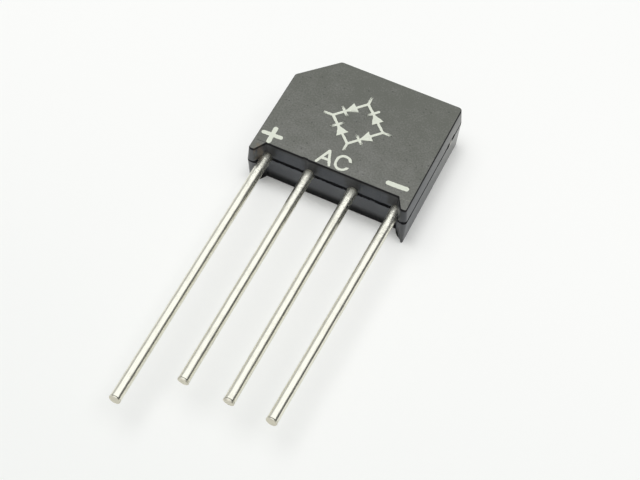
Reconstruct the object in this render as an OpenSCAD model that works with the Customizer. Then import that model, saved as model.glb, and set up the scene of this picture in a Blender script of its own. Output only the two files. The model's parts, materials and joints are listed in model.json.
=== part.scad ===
// In-line moulded bridge rectifier with four round leads.
// Millimetres. The part lies on its back: +Z points out of the marked face, X runs along
// the row of leads and the leads leave along -Y. The origin is the centre of the back face.

/* [Case] */
// Width of the case at the parting line
case_w = 19.3; // [19.1:0.1:20.5]
// Height of the case above the notch floor, at the parting line
case_h = 14.5; // [14:0.1:16]
// Thickness behind the parting line
back_t = 4.2; // [3:0.1:5]
// Thickness in front of the parting line
front_t = 2.2; // [1.8:0.1:3]
// Leg of the chamfered corner on the plus side
chamfer = 4.1; // [2:0.1:4.6]
// Radius of the upright corners at the parting line
corner_r = 0.45; // [0.35:0.05:0.6]
// Draft of the back half in degrees
back_draft = 3; // [1:0.5:4]
// Draft of the front half in degrees
front_draft = 5; // [1:0.5:7]

/* [Standoff feet] */
// How far the feet reach below the notch floor
foot_h = 1.4; // [1:0.1:2.5]
// Width of a foot where it leaves the case
foot_root_w = 1.8; // [1.5:0.05:1.9]
// Width of a foot at its tip
foot_tip_w = 0.95; // [0.95:0.05:1.2]

/* [Leads] */
// Distance between neighbouring leads
pitch = 5.08; // [5:0.01:5.1]
// Diameter of the round wire
wire_d = 1.2; // [1.1:0.02:1.24]
// Diameter of the wire with its dipped tin coat
tinned_d = 1.24; // [1.14:0.02:1.28]
// Distance from the feet's tips to the edge of the tin coat
tin_gap = 0.3; // [0.1:0.1:1]
// Stretch over which the tin coat runs out to the bare wire
tin_runout = 0.6; // [0.6:0.1:1]
// Free length of the AC and minus leads, from the notch floor
lead_free = 28.7; // [10:0.1:40]
// How much longer the plus lead is
plus_extra = 4.8; // [0:0.1:10]
// How far the round wire reaches above the notch floor
wire_grip = 2.4; // [2:0.1:2.8]
// Height above the notch floor where the flattened ends start
flat_from = 1.8; // [1.2:0.1:1.9]
// Width of the flattened inner ends
flat_w = 2.4; // [2.2:0.1:2.4]
// Thickness of the flattened inner ends
flat_t = 0.5; // [0.4:0.05:0.6]
// Inner radius of the plus lead's bend
bend_r = 0.6; // [0.4:0.1:0.8]

/* [Inner layout, heights above the notch floor] */
// Row of the two dice on the AC leads
lower_row = 3.6; // [3.4:0.1:3.7]
// Row of the AC clips' feet
clip_row = 6.3; // [6.2:0.1:6.4]
// Row of the two dice on the plus rail
upper_row = 10; // [9.9:0.1:10.3]
// Top of the minus lead's flattened end
minus_flat_top = 5.2; // [4.6:0.1:8]
// Top of the AC leads' flattened ends
ac_flat_top = 7.4; // [7.2:0.1:7.8]
// How far the plus rail runs past the right AC lead's middle
rail_past = 1.4; // [1.2:0.1:3]

/* [Dice, clips and solder] */
// Side of a diode die
die_w = 2.2; // [1.8:0.1:2.2]
// Side of the mesa on top of a die
mesa_w = 1.9; // [1.7:0.1:1.9]
// Thickness of a die
die_t = 0.28; // [0.2:0.02:0.32]
// Thickness of every solder joint
solder_t = 0.08; // [0.05:0.01:0.1]
// Width of the clips
clip_w = 1.6; // [1.2:0.1:1.6]
// Thickness of the clips
clip_t = 0.3; // [0.2:0.05:0.3]
// Half the length of a clip's pad over a die
clip_pad = 0.9; // [0.8:0.05:1]
// Half the length of a clip's foot
clip_foot = 0.7; // [0.6:0.05:0.8]
// Flat run beside a clip's pad, before it steps down
clip_run = 0.6; // [0.4:0.1:0.7]

/* [Printed marks] */
// Thickness of the ink
ink_t = 0.03; // [0.02:0.01:0.05]
// Width of the polarity marks' strokes
mark_stroke = 0.45; // [0.3:0.05:0.5]
// Width of the fine strokes
fine_stroke = 0.3; // [0.2:0.05:0.35]
// Turn of the whole print in degrees
print_skew = 2; // [0:0.5:2]

/* [Hidden] */
$fn = 48;

// Case: levels and edges
case_t = back_t + front_t;
side = case_w / 2;
top = case_h / 2;
seat = -case_h / 2;
foot_tip = seat - foot_h;
back_inset = back_t * tan(back_draft);
front_inset = front_t * tan(front_draft);

// Leads: their columns
plus_x = -1.5 * pitch;
ac_left_x = -0.5 * pitch;
ac_right_x = 0.5 * pitch;
minus_x = 1.5 * pitch;

// Stack of a die on a flattened lead, measured up from the back face
flat_top = back_t + flat_t / 2;
die_bottom = flat_top + solder_t;
mesa_bottom = die_bottom + die_t / 2;
die_top = die_bottom + die_t;
clip_high = die_top + solder_t;
clip_low = flat_top + solder_t;
solder_under_w = die_w - 0.2;
solder_over_w = clip_w - 0.1;

// Printed marks: centres measured from the notch floor's middle
mark_row = 1.33;
plus_arm = 2.2;
plus_shift = -0.08;
minus_arm = 2.5;
minus_shift = -0.28;
letters_x = -2;
letters_y = 0.45;
letter_h = 1.85;
letter_w = 1.5;
letter_gap = 2;
symbol_x = -0.1;
symbol_y = 7.05;
symbol_r = 3;
symbol_diode = 0.7;
symbol_stub = 1;

// ---- drafted mouldings -------------------------------------------------------------

// The outline runs anticlockwise. Its edges are numbered by the corner they start from.
function wrap(i, n) = (i + n) % n;
function edge_dir(outline, i) =
  let (run = outline[wrap(i + 1, len(outline))] - outline[i])
  run / norm(run);
function inward(d) = [-d[1], d[0]];

// Turn of the outline at corner i: positive on outer corners, negative on inner ones.
function turn(outline, i) =
  let (
    before = edge_dir(outline, wrap(i - 1, len(outline))),
    after = edge_dir(outline, i)
  )
  atan2(before[0] * after[1] - before[1] * after[0], before * after);

// Corner i moved into the outline, to r from both of its edges.
function core_corner(outline, i, r) =
  let (
    before = edge_dir(outline, wrap(i - 1, len(outline))),
    after = edge_dir(outline, i)
  )
  outline[i] + (inward(before) + inward(after)) * r / (1 + before * after);

// A slab of height h whose walls lean in by inset: a straight core, one wall per edge and a
// slice of a cone at each outer corner. Walls run on past inner corners, where they cross.
module drafted_slab(outline, r, h, inset) {
  n = len(outline);
  core = [for (i = [0:n - 1]) core_corner(outline, i, r)];
  profile = [[0, 0], [r, 0], [r - inset, h], [0, h]];
  linear_extrude(h) polygon(core);
  for (i = [0:n - 1]) {
    next = wrap(i + 1, n);
    d = edge_dir(outline, i);
    start = turn(outline, i) < 0 ? r : 0;
    end = turn(outline, next) < 0 ? r : 0;
    translate([core[i][0] - d[0] * start, core[i][1] - d[1] * start, 0])
      rotate([0, 0, atan2(d[1], d[0])])
        rotate([90, 0, 90])
          linear_extrude(start + norm(core[next] - core[i]) + end)
            mirror([1, 0]) polygon(profile);
    if (turn(outline, i) > 0)
      translate([core[i][0], core[i][1], 0])
        rotate([0, 0, atan2(d[1], d[0]) - turn(outline, i) - 90])
          rotate_extrude(angle = turn(outline, i)) polygon(profile);
  }
}

// Outline at the parting line: the notch floor between two feet, and a chamfered plus corner.
case_outline = [
  [-side, foot_tip], [foot_tip_w - side, foot_tip], [foot_root_w - side, seat],
  [side - foot_root_w, seat], [side - foot_tip_w, foot_tip], [side, foot_tip],
  [side, top], [chamfer - side, top], [-side, top - chamfer]
];

module moulded_case() {
  color("dimgray")
    difference() {
      union() {
        translate([0, 0, back_t])
          drafted_slab(case_outline, corner_r, front_t, front_inset);
        translate([0, 0, back_t]) mirror([0, 0, 1])
          drafted_slab(case_outline, corner_r, back_t, back_inset);
      }
      plus_lead();
      ac_lead_left();
      ac_lead_right();
      minus_lead();
      inner_stack();
    }
}

// Everything between the leads' flattened ends and the epoxy.
module inner_stack() {
  die_ac_left_to_plus();
  die_ac_right_to_plus();
  die_minus_to_ac_left();
  die_minus_to_ac_right();
  ac_clip_left();
  ac_clip_right();
  minus_clip();
  solder_under_die_1();
  solder_under_die_2();
  solder_under_die_3();
  solder_under_die_4();
  solder_over_die_1();
  solder_over_die_2();
  solder_over_die_3();
  solder_over_die_4();
  solder_ac_left();
  solder_ac_right();
  solder_minus();
}

// ---- leads ---------------------------------------------------------------------------

// Round wire from its free end to just inside the case. The tin coat runs out below the feet.
module wire(x, free) {
  coat = free - foot_h - tin_gap;
  translate([x, seat - free, back_t])
    rotate([-90, 0, 0])
      rotate_extrude()
        polygon([
          [0, 0], [tinned_d / 2, 0], [tinned_d / 2, coat - tin_runout], [wire_d / 2, coat],
          [wire_d / 2, free + wire_grip], [0, free + wire_grip]
        ]);
}

// Flattened stretch of wire that runs up a column to height end.
module flat_column(x, end) {
  translate([x - flat_w / 2, seat + flat_from, back_t - flat_t / 2])
    cube([flat_w, end - flat_from, flat_t]);
}

// The plus lead's flattened end turns right and carries two dice.
module plus_lead() {
  bend_x = plus_x + flat_w / 2 + bend_r;
  rail_low = upper_row - flat_w / 2;
  bend_y = rail_low - bend_r;
  color("silver") {
    wire(plus_x, lead_free + plus_extra);
    flat_column(plus_x, bend_y);
    translate([bend_x, seat + bend_y, back_t - flat_t / 2])
      rotate([0, 0, 90])
        rotate_extrude(angle = 90) translate([bend_r, 0]) square([flat_w, flat_t]);
    translate([bend_x, seat + rail_low, back_t - flat_t / 2])
      cube([ac_right_x + rail_past - bend_x, flat_w, flat_t]);
  }
}

module straight_lead(x, end) {
  color("silver") {
    wire(x, lead_free);
    flat_column(x, end);
  }
}

module ac_lead_left() { straight_lead(ac_left_x, ac_flat_top); }
module ac_lead_right() { straight_lead(ac_right_x, ac_flat_top); }
module minus_lead() { straight_lead(minus_x, minus_flat_top); }

// ---- dice ----------------------------------------------------------------------------

// A square die whose top half is etched back to a mesa. Its row is a height above the notch floor.
module die(x, y) {
  color("slategray") {
    translate([x - die_w / 2, seat + y - die_w / 2, die_bottom])
      cube([die_w, die_w, die_t / 2]);
    translate([x - mesa_w / 2, seat + y - mesa_w / 2, mesa_bottom])
      cube([mesa_w, mesa_w, die_t / 2]);
  }
}

module die_ac_left_to_plus() { die(ac_left_x, upper_row); }
module die_ac_right_to_plus() { die(ac_right_x, upper_row); }
module die_minus_to_ac_left() { die(ac_left_x, lower_row); }
module die_minus_to_ac_right() { die(ac_right_x, lower_row); }

// ---- clips ---------------------------------------------------------------------------

// Side view of a strip that steps down: high until step_from, low after step_to.
module joggled_strip(step_from, step_to, end) {
  linear_extrude(clip_w)
    polygon([
      [0, clip_high], [step_from, clip_high], [step_to, clip_low], [end, clip_low],
      [end, clip_low + clip_t], [step_to, clip_low + clip_t],
      [step_from, clip_high + clip_t], [0, clip_high + clip_t]
    ]);
}

// AC clip: from a die on the plus rail down to the flattened end of an AC lead.
module ac_clip(x) {
  start = upper_row + clip_pad;
  color("peru")
    translate([x + clip_w / 2, seat + start, 0])
      rotate([90, 0, -90])
        joggled_strip(
          2 * clip_pad + clip_run,
          start - clip_row - 1.3 * clip_foot,
          start - clip_row + clip_foot
        );
}

module ac_clip_left() { ac_clip(ac_left_x); }
module ac_clip_right() { ac_clip(ac_right_x); }

// Minus clip: over both lower dice and down to the flattened end of the minus lead.
module minus_clip() {
  start = ac_left_x - clip_pad;
  color("peru")
    translate([start, seat + lower_row + clip_w / 2, 0])
      rotate([90, 0, 0])
        joggled_strip(
          ac_right_x + clip_pad + clip_run - start,
          minus_x - 2 * clip_foot - start,
          minus_x + clip_foot - start
        );
}

// ---- solder --------------------------------------------------------------------------

module solder_pad(x, y, z, w) {
  color("lightgray")
    translate([x - w / 2, seat + y - w / 2, z])
      cube([w, w, solder_t]);
}

module solder_under_die_1() { solder_pad(ac_left_x, upper_row, flat_top, solder_under_w); }
module solder_under_die_2() { solder_pad(ac_right_x, upper_row, flat_top, solder_under_w); }
module solder_under_die_3() { solder_pad(ac_left_x, lower_row, flat_top, solder_under_w); }
module solder_under_die_4() { solder_pad(ac_right_x, lower_row, flat_top, solder_under_w); }
module solder_over_die_1() { solder_pad(ac_left_x, upper_row, die_top, solder_over_w); }
module solder_over_die_2() { solder_pad(ac_right_x, upper_row, die_top, solder_over_w); }
module solder_over_die_3() { solder_pad(ac_left_x, lower_row, die_top, solder_over_w); }
module solder_over_die_4() { solder_pad(ac_right_x, lower_row, die_top, solder_over_w); }
module solder_ac_left() { solder_pad(ac_left_x, clip_row, flat_top, 2 * clip_foot); }
module solder_ac_right() { solder_pad(ac_right_x, clip_row, flat_top, 2 * clip_foot); }
module solder_minus() { solder_pad(minus_x, lower_row, flat_top, 2 * clip_foot); }

// ---- printed marks -------------------------------------------------------------------

// Ink laid on the marked face; its children are drawn flat, from the notch floor's middle.
module ink() {
  color("white")
    translate([0, seat, case_t])
      linear_extrude(ink_t) children();
}

// A straight stroke with round ends.
module stroke(a, b, w) {
  run = b - a;
  translate(a) {
    circle(d = w);
    rotate(atan2(run[1], run[0])) translate([0, -w / 2]) square([norm(run), w]);
  }
  translate(b) circle(d = w);
}

module plus_mark() {
  reach = (plus_arm - mark_stroke) / 2;
  ink()
    translate([plus_x + plus_shift, mark_row]) rotate(print_skew) {
      stroke([-reach, 0], [reach, 0], mark_stroke);
      stroke([0, -reach], [0, reach], mark_stroke);
    }
}

module minus_mark() {
  reach = (minus_arm - mark_stroke) / 2;
  ink()
    translate([minus_x + minus_shift, mark_row]) rotate(print_skew)
      stroke([-reach, 0], [reach, 0], mark_stroke);
}

module letter_a() {
  stroke([0, 0], [letter_w * 0.55, letter_h], fine_stroke);
  stroke([letter_w, 0], [letter_w * 0.55, letter_h], fine_stroke);
  stroke([letter_w * 0.2, letter_h * 0.35], [letter_w * 0.85, letter_h * 0.35], fine_stroke);
}

// The C is a ring, stretched upwards by two straight strokes' worth and open on its right.
module letter_c() {
  r = letter_w / 2;
  difference() {
    union() {
      translate([r, r]) circle(r = r + fine_stroke / 2);
      translate([r, letter_h - r]) circle(r = r + fine_stroke / 2);
      translate([-fine_stroke / 2, r]) square([2 * r + fine_stroke, letter_h - 2 * r]);
    }
    translate([r, r]) circle(r = r - fine_stroke / 2);
    translate([r, letter_h - r]) circle(r = r - fine_stroke / 2);
    translate([fine_stroke / 2, r]) square([2 * r - fine_stroke, letter_h - 2 * r]);
    translate([r, letter_h * 0.3]) square([2 * r, letter_h * 0.4]);
  }
}

module ac_mark() {
  ink()
    translate([letters_x, letters_y]) rotate(print_skew) {
      letter_a();
      translate([letter_gap, 0]) letter_c();
    }
}

// One arm of the bridge diagram: a line from a to b with a diode pointing at b.
module diode_arm(a, b) {
  run = b - a;
  mid = (a + b) / 2;
  stroke(a, b, fine_stroke);
  translate(mid) rotate(atan2(run[1], run[0])) {
    polygon([
      [-symbol_diode, -symbol_diode], [symbol_diode, 0], [-symbol_diode, symbol_diode]
    ]);
    stroke([symbol_diode, -symbol_diode], [symbol_diode, symbol_diode], fine_stroke);
  }
}

// The bridge's diagram: its diodes all point towards the plus side.
module bridge_symbol() {
  left = [-symbol_r, 0];
  right = [symbol_r, 0];
  upper = [0, symbol_r];
  lower = [0, -symbol_r];
  ink()
    translate([symbol_x, symbol_y]) rotate(print_skew) {
      diode_arm(right, upper);
      diode_arm(right, lower);
      diode_arm(upper, left);
      diode_arm(lower, left);
      stroke(left, left - [symbol_stub, 0], fine_stroke);
      stroke(right, right + [symbol_stub, 0], fine_stroke);
      stroke(upper, upper + [0, symbol_stub], fine_stroke);
      stroke(lower, lower - [0, symbol_stub], fine_stroke);
    }
}

// ---- output --------------------------------------------------------------------------

moulded_case();
plus_lead();
ac_lead_left();
ac_lead_right();
minus_lead();
die_ac_left_to_plus();
die_ac_right_to_plus();
die_minus_to_ac_left();
die_minus_to_ac_right();
ac_clip_left();
ac_clip_right();
minus_clip();
solder_under_die_1();
solder_under_die_2();
solder_under_die_3();
solder_under_die_4();
solder_over_die_1();
solder_over_die_2();
solder_over_die_3();
solder_over_die_4();
solder_ac_left();
solder_ac_right();
solder_minus();
plus_mark();
minus_mark();
ac_mark();
bridge_symbol();
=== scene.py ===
"""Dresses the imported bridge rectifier: its moulded case, its leads, its printed marks and the
chips, clips and solder inside, on a pale floor under soft light."""

from __future__ import annotations

import json
import logging
import math
from collections.abc import Callable, Iterable
from dataclasses import dataclass, field
from enum import Enum
from typing import Any

import bmesh
import bpy
from mathutils import Matrix, Quaternion, Vector

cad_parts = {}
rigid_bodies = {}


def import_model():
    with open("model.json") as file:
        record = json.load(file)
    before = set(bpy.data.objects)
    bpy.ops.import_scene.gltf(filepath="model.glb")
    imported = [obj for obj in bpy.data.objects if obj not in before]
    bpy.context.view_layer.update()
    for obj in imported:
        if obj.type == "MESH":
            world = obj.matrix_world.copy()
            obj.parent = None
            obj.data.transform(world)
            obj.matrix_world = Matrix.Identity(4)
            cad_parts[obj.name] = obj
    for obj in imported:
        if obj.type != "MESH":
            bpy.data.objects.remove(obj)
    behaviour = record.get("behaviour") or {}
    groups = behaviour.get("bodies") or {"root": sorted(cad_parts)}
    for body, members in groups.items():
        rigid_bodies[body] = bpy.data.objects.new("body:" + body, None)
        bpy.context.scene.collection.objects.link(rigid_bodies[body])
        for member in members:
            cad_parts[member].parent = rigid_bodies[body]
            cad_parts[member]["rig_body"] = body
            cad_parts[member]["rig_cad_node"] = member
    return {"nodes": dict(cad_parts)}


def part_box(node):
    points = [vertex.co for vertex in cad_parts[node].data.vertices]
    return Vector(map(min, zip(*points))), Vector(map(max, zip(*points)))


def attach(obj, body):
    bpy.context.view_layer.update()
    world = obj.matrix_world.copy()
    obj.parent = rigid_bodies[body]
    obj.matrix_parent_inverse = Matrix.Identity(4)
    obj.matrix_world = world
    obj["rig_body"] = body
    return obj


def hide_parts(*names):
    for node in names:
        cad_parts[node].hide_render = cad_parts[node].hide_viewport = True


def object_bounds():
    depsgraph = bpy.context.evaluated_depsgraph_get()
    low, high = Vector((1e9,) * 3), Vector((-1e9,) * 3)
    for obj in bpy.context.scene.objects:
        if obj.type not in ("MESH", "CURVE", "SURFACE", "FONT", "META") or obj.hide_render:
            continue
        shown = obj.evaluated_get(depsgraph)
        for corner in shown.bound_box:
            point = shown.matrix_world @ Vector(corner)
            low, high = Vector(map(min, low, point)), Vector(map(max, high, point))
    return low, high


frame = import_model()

CAD_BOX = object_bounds()
MM = 0.001
SAME_POINT = 0.0005 * MM
SAME_LEVEL = 0.01 * MM

log = logging.getLogger("bridge_rectifier")

Number = "float | Value"
Colour = tuple[float, float, float]
Place = Callable[[Any], bool]

# A matt near-black for dirt and for painted shade.
GRIME_AND_SHADE: Colour = (0.012, 0.012, 0.013)
BLACK: Colour = (0, 0, 0)
WHITE: Colour = (1, 1, 1)


# ---- shader maths ----------------------------------------------------------------------


def value_operator(operation: str, swapped: bool = False) -> Callable[[Value, Number], Value]:
    """Makes one of Python's operators for Value.

    Args:
        operation: the Math node that it adds.
        swapped: whether the other number is the node's first input.

    Returns:
        The operator.
    """

    def apply(value: Value, other: Number) -> Value:
        """Adds the Math node for the value and the other number."""
        terms = (other, value) if swapped else (value, other)
        return value.recipe.math(operation, *terms)

    return apply


class Value:
    """A number that a material works out. Python's operators add its Math nodes."""

    def __init__(self, recipe: Recipe, socket: bpy.types.NodeSocket) -> None:
        """Wraps a socket.

        Args:
            recipe: the material that the socket belongs to.
            socket: the output socket with the number.
        """
        self.recipe = recipe
        self.socket = socket

    def math(self, operation: str, *others: Number) -> Value:
        """Adds a Math node.

        Args:
            operation: the node's operation.
            others: its further inputs.

        Returns:
            The node's result.
        """
        return self.recipe.math(operation, self, *others)

    __add__ = __radd__ = value_operator("ADD")
    __mul__ = __rmul__ = value_operator("MULTIPLY")
    __sub__ = value_operator("SUBTRACT")
    __rsub__ = value_operator("SUBTRACT", swapped=True)

    def __abs__(self) -> Value:
        """The size of the number without its sign."""
        return self.math("ABSOLUTE")

    def band(self, low: float, high: float) -> Value:
        """Rises smoothly from 0 to 1.

        Args:
            low: where the rise starts.
            high: where it ends. Below low, the number falls instead.

        Returns:
            A number from 0 to 1.
        """
        node = self.recipe.node(
            "ShaderNodeMapRange",
            {"interpolation_type": "SMOOTHSTEP"},
            {"Value": self, "From Min": low, "From Max": high},
        )
        return Value(self.recipe, node.outputs["Result"])


class Recipe:
    """A node material under construction, in object coordinates counted in millimetres."""

    SOFT = 0.4  # from where a line or a dot is full, as a share of its reach

    def __init__(self, name: str, tree: bpy.types.NodeTree | None = None) -> None:
        """Makes the material, with a Principled shader.

        Args:
            name: the material's name.
            tree: another node tree to fill, such as a world's, and then no material is made.
        """
        self.material: bpy.types.Material | None = None
        if tree is None:
            self.material = bpy.data.materials.new(name)
            self.material.use_nodes = True
            tree = self.material.node_tree
        self.tree = tree
        self.tree.nodes.clear()
        self._place: bpy.types.NodeSocket | None = None

    def node(
        self,
        kind: str,
        settings: dict[str, Any] | None = None,
        inputs: dict[str | int, Any] | None = None,
    ) -> bpy.types.Node:
        """Adds any node.

        Args:
            kind: the node's type.
            settings: its properties, set first.
            inputs: a value, link or Value for each named socket.

        Returns:
            The node.
        """
        made = self.tree.nodes.new(kind)
        for name, value in (settings or {}).items():
            setattr(made, name, value)
        for name, value in (inputs or {}).items():
            self.feed(made.inputs[name], value)
        return made

    def feed(self, socket: bpy.types.NodeSocket, value: Any) -> None:
        """Sets an input socket.

        Args:
            socket: the input.
            value: a Value, an output socket to link, or a constant.
        """
        if isinstance(value, Value):
            self.tree.links.new(value.socket, socket)
        elif isinstance(value, bpy.types.NodeSocket):
            self.tree.links.new(value, socket)
        elif socket.type == "RGBA" and len(value) == 3:
            socket.default_value = (*value, 1.0)
        else:
            socket.default_value = value

    def math(self, operation: str, *terms: Number) -> Value:
        """Adds a Math node.

        Args:
            operation: the node's operation.
            terms: its inputs.

        Returns:
            The node's result.
        """
        made = self.node("ShaderNodeMath", {"operation": operation}, dict(enumerate(terms)))
        return Value(self, made.outputs[0])

    @property
    def place(self) -> bpy.types.NodeSocket:
        """Object coordinates in millimetres."""
        if self._place is None:
            source = self.node("ShaderNodeTexCoord")
            scaled = self.node(
                "ShaderNodeVectorMath",
                {"operation": "SCALE"},
                {0: source.outputs["Object"], "Scale": 1 / MM},
            )
            self._place = scaled.outputs[0]
        return self._place

    def axis(self, letter: str) -> Value:
        """One of the object coordinates, in millimetres."""
        made = self.node("ShaderNodeSeparateXYZ", {}, {0: self.place})
        return Value(self, made.outputs[letter])

    def moved(self, origin: Colour, stretch: Colour = (1, 1, 1)) -> bpy.types.NodeSocket:
        """Object coordinates on another origin, for a pattern of its own.

        Args:
            origin: the new origin, in millimetres.
            stretch: how much finer a pattern gets along X, Y and Z.

        Returns:
            The coordinates.
        """
        made = self.node(
            "ShaderNodeMapping",
            {"vector_type": "TEXTURE"},
            {
                "Vector": self.place,
                "Location": origin,
                "Scale": tuple(1 / fine for fine in stretch),
            },
        )
        return made.outputs[0]

    def noise(
        self,
        size: float,
        detail: float = 2.0,
        rough: float = 0.5,
        stretch: Colour = (1, 1, 1),
        origin: Colour = (0, 0, 0),
    ) -> Value:
        """Cloudy noise around 0.5.

        Args:
            size: how far apart its features lie, in millimetres.
            detail: how many finer octaves it has.
            rough: how strong they are.
            stretch: how much finer it is along X, Y and Z.
            origin: an offset that gives each use its own pattern.

        Returns:
            The noise.
        """
        made = self.node(
            "ShaderNodeTexNoise",
            {},
            {
                "Vector": self.moved(origin, stretch),
                "Scale": 1 / size,
                "Detail": detail,
                "Roughness": rough,
            },
        )
        return Value(self, made.outputs[0])

    def stroke(
        self, start: tuple[float, float], end: tuple[float, float], half_width: float
    ) -> Value:
        """A straight line seen from above.

        Args:
            start: the X and Y of one end, in millimetres.
            end: the X and Y of the other end.
            half_width: how far it reaches to either side.

        Returns:
            1 on the line and 0 elsewhere.
        """
        run = Vector(end) - Vector(start)
        way = run.normalized()
        x, y = self.axis("X") - start[0], self.axis("Y") - start[1]
        along = x * way.x + y * way.y
        across = abs(x * way.y - y * way.x)
        inside = along.band(-half_width, half_width) * along.band(
            run.length + half_width, run.length - half_width
        )
        return inside * across.band(half_width, half_width * self.SOFT)

    def specks(self, size: float, reach: float, origin: Colour) -> Value:
        """Small scattered dots.

        Args:
            size: the distance between dots, in millimetres.
            reach: a dot's radius as a share of that distance.
            origin: an offset that gives each use its own pattern.

        Returns:
            1 in a dot's middle and 0 outside.
        """
        made = self.node(
            "ShaderNodeTexVoronoi",
            {},
            {"Vector": self.moved(origin), "Scale": 1 / size, "Randomness": 1.0},
        )
        return Value(self, made.outputs["Distance"]).band(reach, reach * self.SOFT)

    def blend(self, low: Any, high: Any, share: Number) -> bpy.types.NodeSocket:
        """Mixes two colours.

        Args:
            low: the colour at share 0.
            high: the colour at share 1.
            share: how much of the second one shows.

        Returns:
            The mixed colour.
        """
        made = self.node("ShaderNodeMix", {"data_type": "RGBA"}, {"Factor": share})
        colour_a, colour_b, result = made.inputs[6], made.inputs[7], made.outputs[2]
        self.feed(colour_a, low)
        self.feed(colour_b, high)
        return result

    def bump(self, height: Number, depth: float, strength: float = 1.0) -> bpy.types.NodeSocket:
        """Turns heights into a normal.

        Args:
            height: the surface's height, from 0 to 1.
            depth: how far 1 stands above 0, in millimetres.
            strength: how much of the bump shows.

        Returns:
            The normal.
        """
        made = self.node(
            "ShaderNodeBump",
            {},
            {"Height": height, "Distance": depth * MM, "Strength": strength},
        )
        return made.outputs[0]

    def finish(self, dirt_and_shade: Value | None = None, **inputs: Any) -> bpy.types.Material:
        """Closes the material with a Principled shader.

        Args:
            dirt_and_shade: where a matt dark layer covers it, for dirt and for painted shade.
            inputs: its sockets by name, with _ for a space.

        Returns:
            The material.
        """
        shader = self.node(
            "ShaderNodeBsdfPrincipled",
            {},
            {name.replace("_", " "): value for name, value in inputs.items()},
        )
        # A matt dark layer for dirt and for painted shade.
        if dirt_and_shade is not None:
            matt_dark = self.node("ShaderNodeBsdfDiffuse", {}, {"Color": GRIME_AND_SHADE})
            layers = {0: dirt_and_shade, 1: shader.outputs[0], 2: matt_dark.outputs[0]}
            shader = self.node("ShaderNodeMixShader", {}, layers)
        self.node("ShaderNodeOutputMaterial", {}, {"Surface": shader.outputs[0]})
        return self.material


# ---- finishes --------------------------------------------------------------------------


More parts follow.
